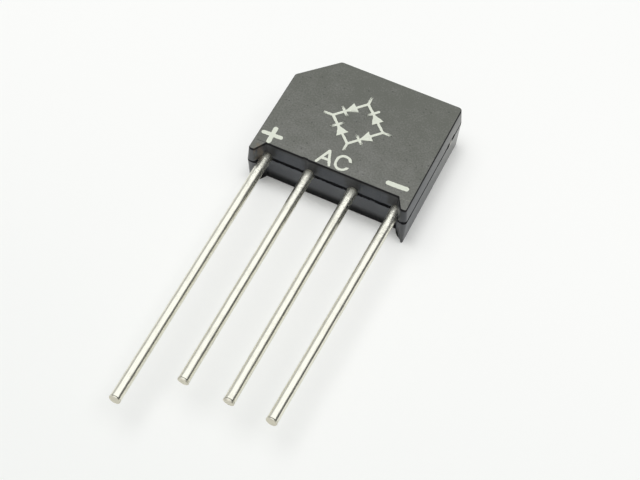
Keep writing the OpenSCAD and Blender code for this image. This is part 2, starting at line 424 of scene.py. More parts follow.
@dataclass(frozen=True)
class Epoxy:
    """Charcoal moulding compound: blasted broad faces, smoother darker sides and a seam with
    dirt and shade, with painted shade in the notch and under the rim, and painted sheen and
    reflection on the broad faces and the minus side.

    Its lengths are in millimetres.
    """

    low: Vector
    high: Vector
    parting: float
    seat: float
    notch_half: float
    leads: tuple[float, ...]
    gate: float = 3.75
    seam_width: float = 0.12
    relief: float = 0.022
    side_relief: float = 0.08
    blasted: Colour = (0.099, 0.104, 0.089)
    sides: Colour = (0.036, 0.042, 0.054)
    dark: Colour = GRIME_AND_SHADE
    pale: Colour = (0.20, 0.20, 0.19)
    rubbed: Colour = (0.33, 0.32, 0.28)
    reflected_brown: Colour = (0.16, 0.12, 0.08)

    def material(self) -> bpy.types.Material:
        """Builds the finish.

        Returns:
            The material.
        """
        r = Recipe("case_epoxy")
        height = r.axis("Z")
        front, back = self.high.z, self.low.z
        broad = height.band(front - 0.03, front - 0.01) + height.band(back + 0.03, back + 0.01)
        grain = r.noise(0.20, 2, 0.5)
        tint = r.blend(self.sides, self.blasted, broad)
        tint = r.blend(tint, self.pale, self._paleness_and_sheen(r, broad, grain))
        pits = r.specks(0.9, 0.16, (6, 1, 3))
        tint = r.blend(tint, self.dark, 0.45 * pits * broad)
        pale, dark = self._marks(r)
        tint = r.blend(tint, self.rubbed, broad * pale)
        tint = r.blend(tint, self.dark, broad * dark)
        # Painted shade: a dark band just under the marked face's rim on the side walls, with
        # the notch's painted shade.
        rim = (front - height).band(0.004, 0.02) * (front - height).band(0.34, 0.20)
        tint = r.blend(tint, self.dark, 0.85 * (rim + self._shade(r)) * (1 - broad))
        # A painted reflection of the plus lead on its foot's inner wall.
        tint = r.blend(tint, self.reflected_brown, 0.5 * self._streak(r))
        gate = self._gate(r)
        tint = r.blend(tint, self.rubbed, 0.85 * gate)
        relief = 0.7 * grain + 0.3 * r.noise(0.5, 2, 0.5, origin=(3, 3, 9)) + 1.5 * gate * grain
        relief = relief * (self.side_relief + (1 - self.side_relief) * broad)
        seam = 0.95 * self._seam(r) * (1 - gate)
        return r.finish(
            Base_Color=tint,
            Roughness=0.30 + 0.26 * broad + 0.25 * broad * (grain - 0.5),
            IOR=1.55,
            Normal=r.bump(relief, self.relief),
            dirt_and_shade=self._grime_and_shade(r, seam, 0.75 * rim * (1 - broad)),
        )

    def _paleness_and_sheen(self, r: Recipe, broad: Value, grain: Value) -> Value:
        """Where the compound is paler in colour (the plus side's foot end, grains) and where
        light is painted: sheen on the broad faces towards the leads and a reflection on the
        minus side's wall towards its far end.

        Args:
            r: the material.
            broad: 1 on the two broad faces.
            grain: the fine grain.

        Returns:
            How much paler it is.
        """
        flow = r.noise(1.7, 4, 0.6, origin=(4, 1, 0))
        filler = r.specks(0.55, 0.14, (1, 5, 2))
        speckle = (0.15 + 1.55 * broad) * (grain - 0.5) + 0.9 * broad * (flow - 0.5)
        # Painted sheen: the broad faces grow paler towards the leads.
        nearer = r.axis("Y").band(6, -7)
        # Painted reflection: the minus side's wall grows paler towards its far end.
        side_reflection = self._minus_side(r) * r.axis("Y").band(-6, 6.5) * (1 - broad)
        toe = self._toe_ends(r) * r.axis("X").band(1, -1) * (1 - broad)
        even = 0.03 + 0.30 * nearer * broad + 0.68 * side_reflection + 0.25 * toe
        return even + speckle + 0.05 * filler

    def _minus_side(self, r: Recipe) -> Value:
        """1 on the side wall next to the minus lead and 0 elsewhere."""
        return r.axis("X").band(self.high.x - 0.6, self.high.x - 0.4)

    def _toe_ends(self, r: Recipe) -> Value:
        """1 on the ends of the feet and 0 elsewhere."""
        return r.axis("Y").band(self.low.y + 0.5, self.low.y + 0.3)

    def _in_notch(self, r: Recipe) -> Value:
        """1 on the notch's wall and 0 elsewhere."""
        inside = abs(r.axis("X")).band(self.notch_half + 0.1, self.notch_half - 0.1)
        return inside * r.axis("Y").band(self.seat + 0.36, self.seat + 0.24)

    def _seam(self, r: Recipe) -> Value:
        """Where dirt and shade sit in the seam, which is widest along the notch.

        Args:
            r: the material.

        Returns:
            1 in the seam and 0 elsewhere.
        """
        ragged = r.noise(0.45, 3, 0.65, origin=(7, 7, 7)) - 0.5
        below = r.axis("Y").band(self.seat + 0.3, self.seat + 0.1)
        notch = self._in_notch(r)
        middle = self.parting - 0.10 * notch
        from_seam = abs(r.axis("Z") - middle + 0.10 * ragged)
        torn = abs(r.axis("Y") - self.gate).band(1.25, 0.8)
        wider = 0.03 * below + 0.16 * notch + self._minus_side(r) * (0.08 + 0.16 * torn)
        return (self.seam_width + wider + 0.16 * ragged - from_seam).band(-0.02, 0.04)

    def _grime_and_shade(self, r: Recipe, seam: Value, rim: Value) -> Value:
        """Matt dark: dirt and shade in the seam, and painted shade under the marked face's rim
        and at the notch's bottom.

        Args:
            r: the material.
            seam: how much of it the seam holds.
            rim: how much of it lies under the rim.

        Returns:
            How much of it there is.
        """
        # Painted shade: the notch's wall darkens towards its bottom, near the floor.
        bottom = 0.85 * self._in_notch(r) * r.axis("Z").band(self.low.z + 1.9, self.low.z + 0.7)
        return seam.math("MAXIMUM", rim).math("MAXIMUM", bottom)

    def _shade(self, r: Recipe) -> Value:
        """Painted shade in the notch, under its front edge, above each lead and towards its
        bottom, and on the feet's ends.

        Args:
            r: the material.

        Returns:
            How much of it there is.
        """
        height = r.axis("Z")
        above = height.band(self.parting + 0.2, self.parting + 0.6)
        low = height.band(self.low.z + 2.6, self.low.z + 0.3)
        ragged = 0.5 * (r.noise(0.5, 2, 0.5, origin=(1, 4, 8)) - 0.5)
        lead_and_edge_shade = 0.8 * height.band(self.high.z - 0.75, self.high.z - 0.25)
        for lead in self.leads:
            beside = abs(r.axis("X") - lead + ragged)
            lead_and_edge_shade = lead_and_edge_shade + 1.1 * beside.band(1.15, 0.45) * above
        ends = self._toe_ends(r) * (0.2 + 0.8 * r.axis("X").band(-1, 1))
        shade = (lead_and_edge_shade + 0.9 * low) * self._in_notch(r) + (0.35 + 0.6 * low) * ends
        return shade.math("MINIMUM", 1.0)

    def _gate(self, r: Recipe) -> Value:
        """The torn stub of the moulding gate on the minus side.

        Args:
            r: the material.

        Returns:
            1 on the stub and 0 elsewhere.
        """
        ragged = 0.5 * (r.noise(0.4, 3, 0.6, origin=(2, 8, 5)) - 0.5)
        along = abs(r.axis("Y") - self.gate + ragged)
        across = abs(r.axis("Z") - self.parting + 0.25 + ragged)
        return self._minus_side(r) * along.band(0.42, 0.26) * across.band(0.62, 0.42)

    def _marks(self, r: Recipe) -> tuple[Value, Value]:
        """Fine witness lines over the feet and a handling scratch on the marked face.

        Args:
            r: the material.

        Returns:
            How much the pale ones show, and how much the dark one does.
        """
        left = r.stroke((-9.06, self.seat + 0.15), (-7.73, self.seat + 0.20), 0.06)
        right = r.stroke((8.45, self.seat + 0.07), (9.34, self.seat + 0.17), 0.05)
        scratch = r.stroke((-6.43, self.seat + 3.48), (-5.52, self.seat + 3.63), 0.04)
        broken = r.noise(0.3, 2, 0.6, origin=(9, 1, 1)).band(0.40, 0.55)
        return (0.45 * right + 0.30 * scratch) * broken, 0.75 * left

    def _streak(self, r: Recipe) -> Value:
        """A brownish streak on the inner wall of the plus side's foot: a painted reflection of
        the plus lead.

        Args:
            r: the material.

        Returns:
            1 on the streak and 0 elsewhere.
        """
        wall = -self.notch_half
        across = r.axis("X").band(wall - 0.25, wall - 0.05)
        across = across * r.axis("X").band(wall + 1.2, wall + 1.0)
        along = r.axis("Y").band(self.seat - 0.1, self.seat - 0.3)
        along = along * r.axis("Y").band(self.low.y + 0.02, self.low.y + 0.2)
        upper = r.axis("Z").band(self.parting + 0.1, self.parting + 0.5)
        cloud = r.noise(0.4, 3, 0.6, stretch=(1, 1, 0.4), origin=(3, 6, 2)).band(0.42, 0.6)
        return across * along * upper * cloud


@dataclass(frozen=True)
class Tin:
    """Hot-dipped tin on copper wire: bright, but dull near the case and at its cut, with
    painted shade where it enters the case.

    Its lengths are in millimetres.
    """

    root: float
    tip: float
    long_tip: float
    plus_side: tuple[float, float] = (-5.0, -5.2)
    relief: float = 0.02
    base: Colour = (0.82, 0.805, 0.70)
    dull_and_shade: Colour = (0.32, 0.31, 0.24)
    pale: Colour = (0.86, 0.86, 0.76)
    cut: Colour = (0.66, 0.63, 0.53)

    def material(self) -> bpy.types.Material:
        """Builds the finish.

        Returns:
            The material.
        """
        r = Recipe("tinned_wire")
        along = r.axis("Y")
        drawn = r.noise(0.10, 3, 0.6, stretch=(1, 0.035, 1))
        blotch = r.noise(0.55, 4, 0.62, stretch=(1, 0.45, 1), origin=(2, 9, 4))
        near = along.band(self.root - 7.0, self.root)
        root = along.band(self.root - 2.2, self.root - 0.5)
        flecks = r.noise(0.20, 3, 0.7, origin=(6, 6, 1)).band(0.53, 0.62) * near
        # Painted shade: the wire darkens where it enters the case.
        contact = along.band(self.root - 0.28, self.root - 0.10)
        tired = blotch.band(0.50, 0.64) * (0.25 + 0.75 * near)
        lines = drawn.band(0.52, 0.70)
        past = along - self.tip + (self.tip - self.long_tip) * r.axis("X").band(*self.plus_side)
        face = past.band(0.16, 0.12)
        crease = past.band(0.17, 0.21) * past.band(0.36, 0.28)
        dulled = 0.40 * tired + 0.15 * lines + 0.6 * flecks + 0.6 * crease
        tint = r.blend(self.base, self.dull_and_shade, dulled)
        tint = r.blend(tint, self.pale, 0.45 * near)
        tint = r.blend(tint, self.cut, face)
        tint = r.blend(tint, self.dull_and_shade, 0.6 * contact)
        relief = (0.5 * blotch + 0.4 * flecks) * (1 + 0.4 * near) + 0.4 * drawn
        return r.finish(
            Base_Color=tint,
            Metallic=1.0 - 0.12 * root * blotch,
            Roughness=0.17 + 0.16 * tired + 0.05 * (near + root) + 0.08 * lines + 0.25 * face,
            Normal=r.bump(relief, self.relief, 0.8),
        )


@dataclass(frozen=True)
class Ink:
    """White marking ink: chalky, thin in places."""

    base: Colour = (0.70, 0.73, 0.64)
    thin: Colour = (0.36, 0.37, 0.33)

    def material(self) -> bpy.types.Material:
        """Builds the finish.

        Returns:
            The material.
        """
        r = Recipe("white_ink")
        cover = r.noise(0.32, 4, 0.7, origin=(5, 5, 0))
        pinholes = r.specks(0.36, 0.16, (2, 2, 8))
        tint = r.blend(self.base, self.thin, 0.28 * cover.band(0.46, 0.30) + 0.30 * pinholes)
        return r.finish(
            Base_Color=tint,
            Roughness=0.62 - 0.1 * cover,
            Normal=r.bump(cover, 0.01, 0.6),
        )


@dataclass(frozen=True)
class Silicon:
    """Glass-passivated silicon: a dark polished chip with a paler edge, etched below its top.

    Its lengths are in millimetres.
    """

    top: float
    base: Colour = (0.10, 0.115, 0.14)
    edge: Colour = (0.33, 0.34, 0.33)

    def material(self) -> bpy.types.Material:
        """Builds the finish.

        Returns:
            The material.
        """
        r = Recipe("die_silicon")
        etched = r.axis("Z").band(self.top - 0.02, self.top - 0.16)
        grain = r.noise(0.07, 3, 0.6)
        tint = r.blend(self.base, self.edge, 0.7 * etched + 0.15 * (grain - 0.5))
        return r.finish(
            Base_Color=tint,
            Metallic=0.35,
            Roughness=0.22 + 0.35 * etched + 0.10 * grain,
            Normal=r.bump(grain, 0.004, 0.5),
        )


@dataclass(frozen=True)
class Copper:
    """Stamped copper strip: rolled lines and a slight brown tarnish."""

    base: Colour = (0.79, 0.45, 0.30)
    tarnish: Colour = (0.30, 0.14, 0.08)

    def material(self) -> bpy.types.Material:
        """Builds the finish.

        Returns:
            The material.
        """
        r = Recipe("clip_copper")
        rolled = r.noise(0.09, 3, 0.6, stretch=(1, 0.08, 1))
        cloud = r.noise(0.7, 4, 0.6, origin=(8, 2, 1))
        tint = r.blend(self.base, self.tarnish, 0.5 * cloud.band(0.48, 0.72) + 0.1 * rolled)
        return r.finish(
            Base_Color=tint,
            Metallic=1.0,
            Roughness=0.28 + 0.25 * cloud,
            Normal=r.bump(rolled, 0.005, 0.6),
        )


@dataclass(frozen=True)
class Solder:
    """Reflowed solder: grey, softly rippled and a little frosted."""

    base: Colour = (0.62, 0.62, 0.63)
    frost: Colour = (0.36, 0.36, 0.37)

    def material(self) -> bpy.types.Material:
        """Builds the finish.

        Returns:
            The material.
        """
        r = Recipe("solder_joint")
        ripple = r.noise(0.25, 3, 0.5)
        frost = r.noise(0.05, 2, 0.6, origin=(1, 1, 6))
        return r.finish(
            Base_Color=r.blend(self.base, self.frost, frost.band(0.45, 0.7)),
            Metallic=1.0,
            Roughness=0.25 + 0.3 * frost,
            Normal=r.bump(ripple, 0.01, 0.8),
        )


# ---- modelling -------------------------------------------------------------------------


class Part(Enum):
    """What of a mesh is picked, in the order of the select modes."""

    CORNERS = "verts"
    EDGES = "edges"
    FACES = "faces"


class Bench:
    """The modelling operators, most of them on the one object that is in edit mode."""

    CLOUDS_STRENGTH = 4  # at which clouds move a surface by about 1 to either side

    @staticmethod
    def only(obj: bpy.types.Object) -> None:
        """Makes obj the active object, and the only one that is selected."""
        bpy.ops.object.select_all(action="DESELECT")
        obj.select_set(True)
        bpy.context.view_layer.objects.active = obj

    @classmethod
    def added(cls, name: str) -> bpy.types.Object:
        """Names the primitive that was just added, and puts its place into its mesh.

        Args:
            name: the piece's name.

        Returns:
            The piece, at the origin.
        """
        obj = bpy.context.active_object
        obj.name = name
        obj.data.name = name
        cls.only(obj)
        bpy.ops.object.transform_apply(location=True, rotation=True, scale=True)
        return obj

    @classmethod
    def open(cls, obj: bpy.types.Object) -> None:
        """Starts edit mode on obj, with nothing picked."""
        cls.only(obj)
        bpy.ops.object.mode_set(mode="EDIT")
        bpy.ops.mesh.select_all(action="DESELECT")

    @staticmethod
    def close() -> None:
        """Ends edit mode."""
        bpy.ops.object.mode_set(mode="OBJECT")

    @staticmethod
    def pick(
        obj: bpy.types.Object, part: Part, wanted: Place = lambda element: True
    ) -> int:
        """Picks corners, edges or faces.

        Args:
            obj: the object in edit mode.
            part: which of the three.
            wanted: tells from a bmesh element whether it is picked.

        Returns:
            How many were picked.
        """
        bpy.context.tool_settings.mesh_select_mode = [kind is part for kind in Part]
        bpy.ops.mesh.select_all(action="DESELECT")
        mesh = bmesh.from_edit_mesh(obj.data)
        found = [e for e in getattr(mesh, part.value) if wanted(e)]
        for element in found:
            element.select_set(True)
        mesh.select_flush_mode()
        bmesh.update_edit_mesh(obj.data)
        return len(found)

    @staticmethod
    def pull(step: Iterable[float]) -> None:
        """Extrudes what is picked by a step in metres."""
        bpy.ops.mesh.extrude_region_move(TRANSFORM_OT_translate={"value": tuple(step)})

    @staticmethod
    def grow(scale: Colour) -> None:
        """Resizes what is picked about its middle."""
        bpy.ops.transform.resize(value=scale)

    @staticmethod
    def outward() -> None:
        """Merges doubles and turns all the faces outwards."""
        bpy.context.tool_settings.mesh_select_mode = [kind is Part.CORNERS for kind in Part]
        bpy.ops.mesh.select_all(action="SELECT")
        bpy.ops.mesh.remove_doubles(threshold=SAME_POINT)
        bpy.ops.mesh.normals_make_consistent(inside=False)

    @staticmethod
    def cut(point: Colour, normal: Iterable[float], clear_outer: bool = False) -> None:
        """Cuts what is picked along a plane.

        Args:
            point: a point on the plane.
            normal: the way that the plane faces.
            clear_outer: whether what lies in front of it is removed.
        """
        facing = Vector(normal).normalized()
        bpy.ops.mesh.bisect(plane_co=point, plane_no=facing, clear_outer=clear_outer)

    @staticmethod
    def group(obj: bpy.types.Object, name: str, wanted: Place) -> None:
        """Makes a vertex group of obj's corners that wanted tells from the rest."""
        found = [corner.index for corner in obj.data.vertices if wanted(corner)]
        obj.vertex_groups.new(name=name).add(found, 1.0, "REPLACE")

    @classmethod
    def ripple(
        cls,
        obj: bpy.types.Object,
        size: float,
        height: float,
        direction: str = "NORMAL",
        group: str = "",
    ) -> None:
        """Makes a surface uneven, and applies that.

        Args:
            obj: the object.
            size: the size of its bumps, in metres.
            height: how far they reach to either side, in metres.
            direction: along which way the surface moves.
            group: the vertex group that moves, or all of it.
        """
        cloud = bpy.data.textures.new(f"{obj.name}_{direction}_ripple", "CLOUDS")
        cloud.noise_scale = size
        cloud.noise_depth = 2
        made = obj.modifiers.new("ripple", "DISPLACE")
        made.texture = cloud
        made.texture_coords = "LOCAL"
        made.direction = direction
        made.strength = height * cls.CLOUDS_STRENGTH
        made.mid_level = 0.5
        made.vertex_group = group
        cls.only(obj)
        bpy.ops.object.modifier_apply(modifier=made.name)

    @classmethod
    def smooth(cls, obj: bpy.types.Object, degrees: float = 30) -> None:
        """Shades obj smooth, except over sharp edges, and keeps its broad faces flat.

        Args:
            obj: the object.
            degrees: from which angle an edge is sharp.
        """
        cls.only(obj)
        bpy.ops.object.shade_smooth_by_angle(angle=math.radians(degrees))
        weighted = obj.modifiers.new("weighted", "WEIGHTED_NORMAL")
        weighted.keep_sharp = True
        bpy.ops.object.modifier_apply(modifier=weighted.name)

    @staticmethod
    def keep_in(obj: bpy.types.Object, low: Vector, high: Vector) -> None:
        """Holds a piece's corners inside a box.

        Args:
            obj: the piece.
            low: the box's lowest corner.
            high: its highest corner.
        """
        for corner in obj.data.vertices:
            corner.co = Vector(min(max(c, a), b) for c, a, b in zip(corner.co, low, high))


def dress(
    obj: bpy.types.Object, material: bpy.types.Material, slot: str, *nodes: str
) -> bpy.types.Object:
    """Gives a new piece its material and body, and hides the CAD nodes that it replaces.

    Args:
        obj: the piece.
        material: its finish.
        slot: the record's material slot, which is not used.
        nodes: the CAD nodes that it replaces.

    Returns:
        The piece.
    """
    obj.data.materials.clear()
    obj.data.materials.append(material)
    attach(obj, "root")
    if nodes:
        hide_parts(*nodes)
    log.info("%s: %d faces", obj.name, len(obj.data.polygons))
    return obj


# ---- moulded case ----------------------------------------------------------------------


@dataclass
class MouldedCase:
    """The epoxy moulding: two drafted halves, a notch between two feet and a ragged seam."""

    parting: float
    leads: tuple[float, ...]
    chamfer: float = 4.1 * MM
    corner_round: float = 0.60 * MM
    foot_round: float = 0.42 * MM
    foot_root: float = 1.8 * MM
    foot_tip: float = 0.95 * MM
    back_draft: float = math.radians(3)
    front_draft: float = math.radians(5)
    rim_round: float = 0.13 * MM
    seam_half: float = 0.07 * MM
    seam_depth: float = 0.09 * MM
    lip: float = 0.10 * MM
    lip_height: float = 0.25 * MM
    gap: float = 0.33 * MM
    gap_depth: float = 0.35 * MM
    seam_ripple: tuple[float, float] = (0.5 * MM, 0.03 * MM)
    lip_ripple_y: tuple[float, float] = (0.45 * MM, 0.035 * MM)
    lip_ripple_z: tuple[float, float] = (0.5 * MM, 0.09 * MM)
    nick: tuple[float, float] = (-3.5 * MM, -2.84 * MM)
    nick_depth: float = 0.07 * MM
    toe: float = 0.40
    toe_edge: float = 0.25 * MM
    toe_fade: float = 0.7 * MM
    sharp: float = 36
    spacing: float = 0.22 * MM
    low: Vector = field(default_factory=lambda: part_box("moulded_case")[0])
    high: Vector = field(default_factory=lambda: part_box("moulded_case")[1])

    @property
    def seat(self) -> float:
        """Where the notch floor lies: the case above it is centred on the origin."""
        return -self.high.y

    def build(self) -> bpy.types.Object:
        """Models and dresses the case.

        Returns:
            The finished piece.
        """
        obj = self._outline()
        self._halves(obj)
        self._seam(obj)
        self._lip(obj)
        self._rims(obj)
        self._nick(obj)
        self._toes(obj)
        Bench.keep_in(obj, self.low, self.high)
        Bench.smooth(obj, self.sharp)
        epoxy = Epoxy(
            low=self.low / MM,
            high=self.high / MM,
            parting=self.parting / MM,
            seat=self.seat / MM,
            notch_half=(self.high.x - self.foot_tip) / MM,
            leads=tuple(lead / MM for lead in self.leads),
        )
        return dress(obj, epoxy.material(), "case", "moulded_case")

    def _outline(self) -> bpy.types.Object:
        """Cuts the case's outline out of a plane and rounds its outer corners.

        Returns:
            One flat face at the seam's front edge.
        """
        middle = (self.low + self.high) / 2
        bpy.ops.mesh.primitive_plane_add(
            size=1, location=(middle.x, middle.y, self.parting + self.seam_half)
        )
        obj = bpy.context.active_object
        obj.scale = (self.high.x - self.low.x, self.high.y - self.low.y, 1)
        obj = Bench.added("case_shell")
        side, top, tip = self.high.x, self.high.y, self.low.y

        def below(face: bmesh.types.BMFace) -> bool:
            """Whether a face lies below the notch floor."""
            return face.calc_center_median().y < self.seat

        Bench.open(obj)
        Bench.pick(obj, Part.FACES)
        Bench.cut((-side, top - self.chamfer, 0), (-1, 1, 0), clear_outer=True)
        Bench.pick(obj, Part.FACES)
        Bench.cut((0, self.seat, 0), (0, 1, 0))
        for way in (-1, 1):
            Bench.pick(obj, Part.FACES, below)
            facing = (self.seat - tip, way * (self.foot_root - self.foot_tip), 0)
            Bench.cut((way * (side - self.foot_root), self.seat, 0), facing)
        Bench.pick(
            obj, Part.FACES, lambda f: below(f) and abs(f.calc_center_median().x) < side / 2
        )
        bpy.ops.mesh.delete(type="FACE")
        Bench.pick(obj, Part.FACES)
        bpy.ops.mesh.dissolve_faces()
        slope = math.atan2(self.seat - tip, self.foot_root - self.foot_tip)
        inner = side - self.foot_tip
        cuts = ((self.chamfer - side, top), (-side, top - self.chamfer))
        for radius, turn, corners in (
            (self.corner_round, math.pi / 2, ((side, top),)),
            (self.corner_round, math.pi / 4, cuts),
            (self.foot_round, math.pi / 2, ((side, tip), (-side, tip))),
            (self.foot_round, slope, ((inner, tip), (-inner, tip))),
        ):
            self._round(obj, radius, turn, corners)
        bpy.ops.mesh.select_all(action="SELECT")
        bpy.ops.mesh.delete(type="ONLY_FACE")
        while Bench.pick(obj, Part.EDGES, lambda e: e.calc_length() > self.spacing):
            bpy.ops.mesh.subdivide(number_cuts=1)
        bpy.ops.mesh.select_all(action="SELECT")
        bpy.ops.mesh.edge_face_add()
        Bench.pick(obj, Part.FACES, lambda f: f.normal.z < 0)
        bpy.ops.mesh.flip_normals()
        Bench.close()
        return obj

    def _round(
        self,
        obj: bpy.types.Object,
        radius: float,
        turn: float,
        corners: Iterable[tuple[float, float]],
    ) -> None:
        """Rounds some of the outline's corners.

        Args:
            obj: the outline, in edit mode.
            radius: how round they get.
            turn: how far the outline turns there, in radians.
            corners: where they are.
        """
        places = [Vector((x, y)) for x, y in corners]
        Bench.pick(
            obj, Part.CORNERS, lambda v: any((v.co.xy - p).length < SAME_LEVEL for p in places)
        )
        bpy.ops.mesh.bevel(
            offset=radius * math.tan(turn / 2),
            offset_type="OFFSET",
            segments=5,
            profile=0.5,
            affect="VERTICES",
        )

    def _halves(self, obj: bpy.types.Object) -> None:
        """Raises the drafted halves from the outline, with a band for the seam between them.

        Args:
            obj: the outline.
        """
        front = self.high.z - self.parting
        back = self.parting - self.low.z
        Bench.open(obj)
        Bench.pick(obj, Part.FACES)
        bpy.ops.mesh.inset(
            thickness=front * math.tan(self.front_draft), depth=front - self.seam_half
        )
        Bench.pick(obj, Part.EDGES, lambda e: e.is_boundary)
        Bench.pull((0, 0, -self.seam_half))
        Bench.pull((0, 0, -self.seam_half))
        bpy.ops.mesh.edge_face_add()
        Bench.outward()
        floor = self.parting - self.seam_half
        Bench.pick(
            obj,
            Part.FACES,
            lambda f: f.normal.z < -0.9 and abs(f.calc_center_median().z - floor) < SAME_LEVEL,
        )
        bpy.ops.mesh.inset(
            thickness=back * math.tan(self.back_draft), depth=back - self.seam_half
        )
        Bench.close()

    def _seam(self, obj: bpy.types.Object) -> None:
        """Sinks the seam's middle line and makes it ragged.

        Args:
            obj: the case.
        """

        def middle(corner: Any) -> bool:
            """Whether a corner lies on the seam's middle line."""
            return abs(corner.co.z - self.parting) < SAME_LEVEL

        Bench.open(obj)
        Bench.pick(obj, Part.CORNERS, middle)
        bpy.ops.transform.shrink_fatten(value=-self.seam_depth)
        Bench.close()
        Bench.group(obj, "seam", middle)
        Bench.ripple(obj, *self.seam_ripple, "NORMAL", "seam")

    def _lip(self, obj: bpy.types.Object) -> None:
        """Lets the front half stand a little over the back half along the notch, as flash.

        Args:
            obj: the case.
        """
        reach = self.high.x - self.foot_root - 0.2 * MM

        def ring(step: int) -> Place:
            """One of the seam's three rings of corners along the notch.

            Args:
                step: 1 for the front one, 0 for the middle and -1 for the back one.

            Returns:
                What tells its corners from the rest.
            """
            level = self.parting + step * self.seam_half
            return (
                lambda v: abs(v.co.x) < reach
                and abs(v.co.z - level) < 2 * SAME_LEVEL
                and abs(v.co.y - self.seat) < 0.3 * MM
            )

        Bench.open(obj)
        Bench.pick(obj, Part.FACES)
        Bench.cut((0, 0, self.parting + self.seam_half + self.lip_height), (0, 0, 1))
        for step, move in (
            (0, (0, self.gap_depth, -self.gap / 2)),
            (-1, (0, 0, -self.gap)),
            (1, (0, -self.lip, 0)),
        ):
            Bench.pick(obj, Part.CORNERS, ring(step))
            bpy.ops.transform.translate(value=move)
        Bench.close()
        Bench.group(obj, "lip", ring(1))
        Bench.ripple(obj, *self.lip_ripple_y, "Y", "lip")
        Bench.ripple(obj, *self.lip_ripple_z, "Z", "lip")

    def _nick(self, obj: bpy.types.Object) -> None:
        """Chips the notch's front edge.

        Args:
            obj: the case.
        """
        Bench.open(obj)
        Bench.pick(
            obj,
            Part.CORNERS,
            lambda v: self.nick[0] < v.co.x < self.nick[1]
            and v.co.z > self.high.z - 1.5 * self.rim_round
            and v.co.y < self.seat + 0.4 * MM,
        )
        bpy.ops.transform.translate(value=(0, self.nick_depth, 0))
        Bench.close()

    def _toes(self, obj: bpy.types.Object) -> None:
        """Narrows the back edge of each foot's tip towards its outer side, to a blunt point.

        Args:
            obj: the case.
        """
        Bench.open(obj)
        outer = self.high.x - (self.parting - self.low.z) * math.tan(self.back_draft)
        for way in (-1, 1):
            Bench.pick(
                obj,
                Part.CORNERS,
                lambda v: v.co.z < self.low.z + 1.1 * self.rim_round
                and v.co.y < self.low.y + 0.5 * MM
                and self.high.x - self.foot_tip - 0.1 * MM < way * v.co.x
                and way * v.co.x < outer - self.toe_edge,
            )
            bpy.ops.transform.resize(
                value=(self.toe, 1, 1),
                center_override=(way * outer, self.low.y, self.low.z),
                use_proportional_edit=True,
                proportional_edit_falloff="SHARP",
                proportional_size=self.toe_fade,
            )
        Bench.close()

    def _rims(self, obj: bpy.types.Object) -> None:
        """Rounds the edges of the marked face and of the back.

        Args:
            obj: the case.
        """
        Bench.open(obj)
        for level in (self.low.z, self.high.z):
            Bench.pick(
                obj,
                Part.EDGES,
                lambda e: all(abs(v.co.z - level) < SAME_LEVEL / 2 for v in e.verts),
            )
            bpy.ops.mesh.bevel(offset=self.rim_round, segments=3, affect="EDGES")
        Bench.close()


# ---- leads -----------------------------------------------------------------------------


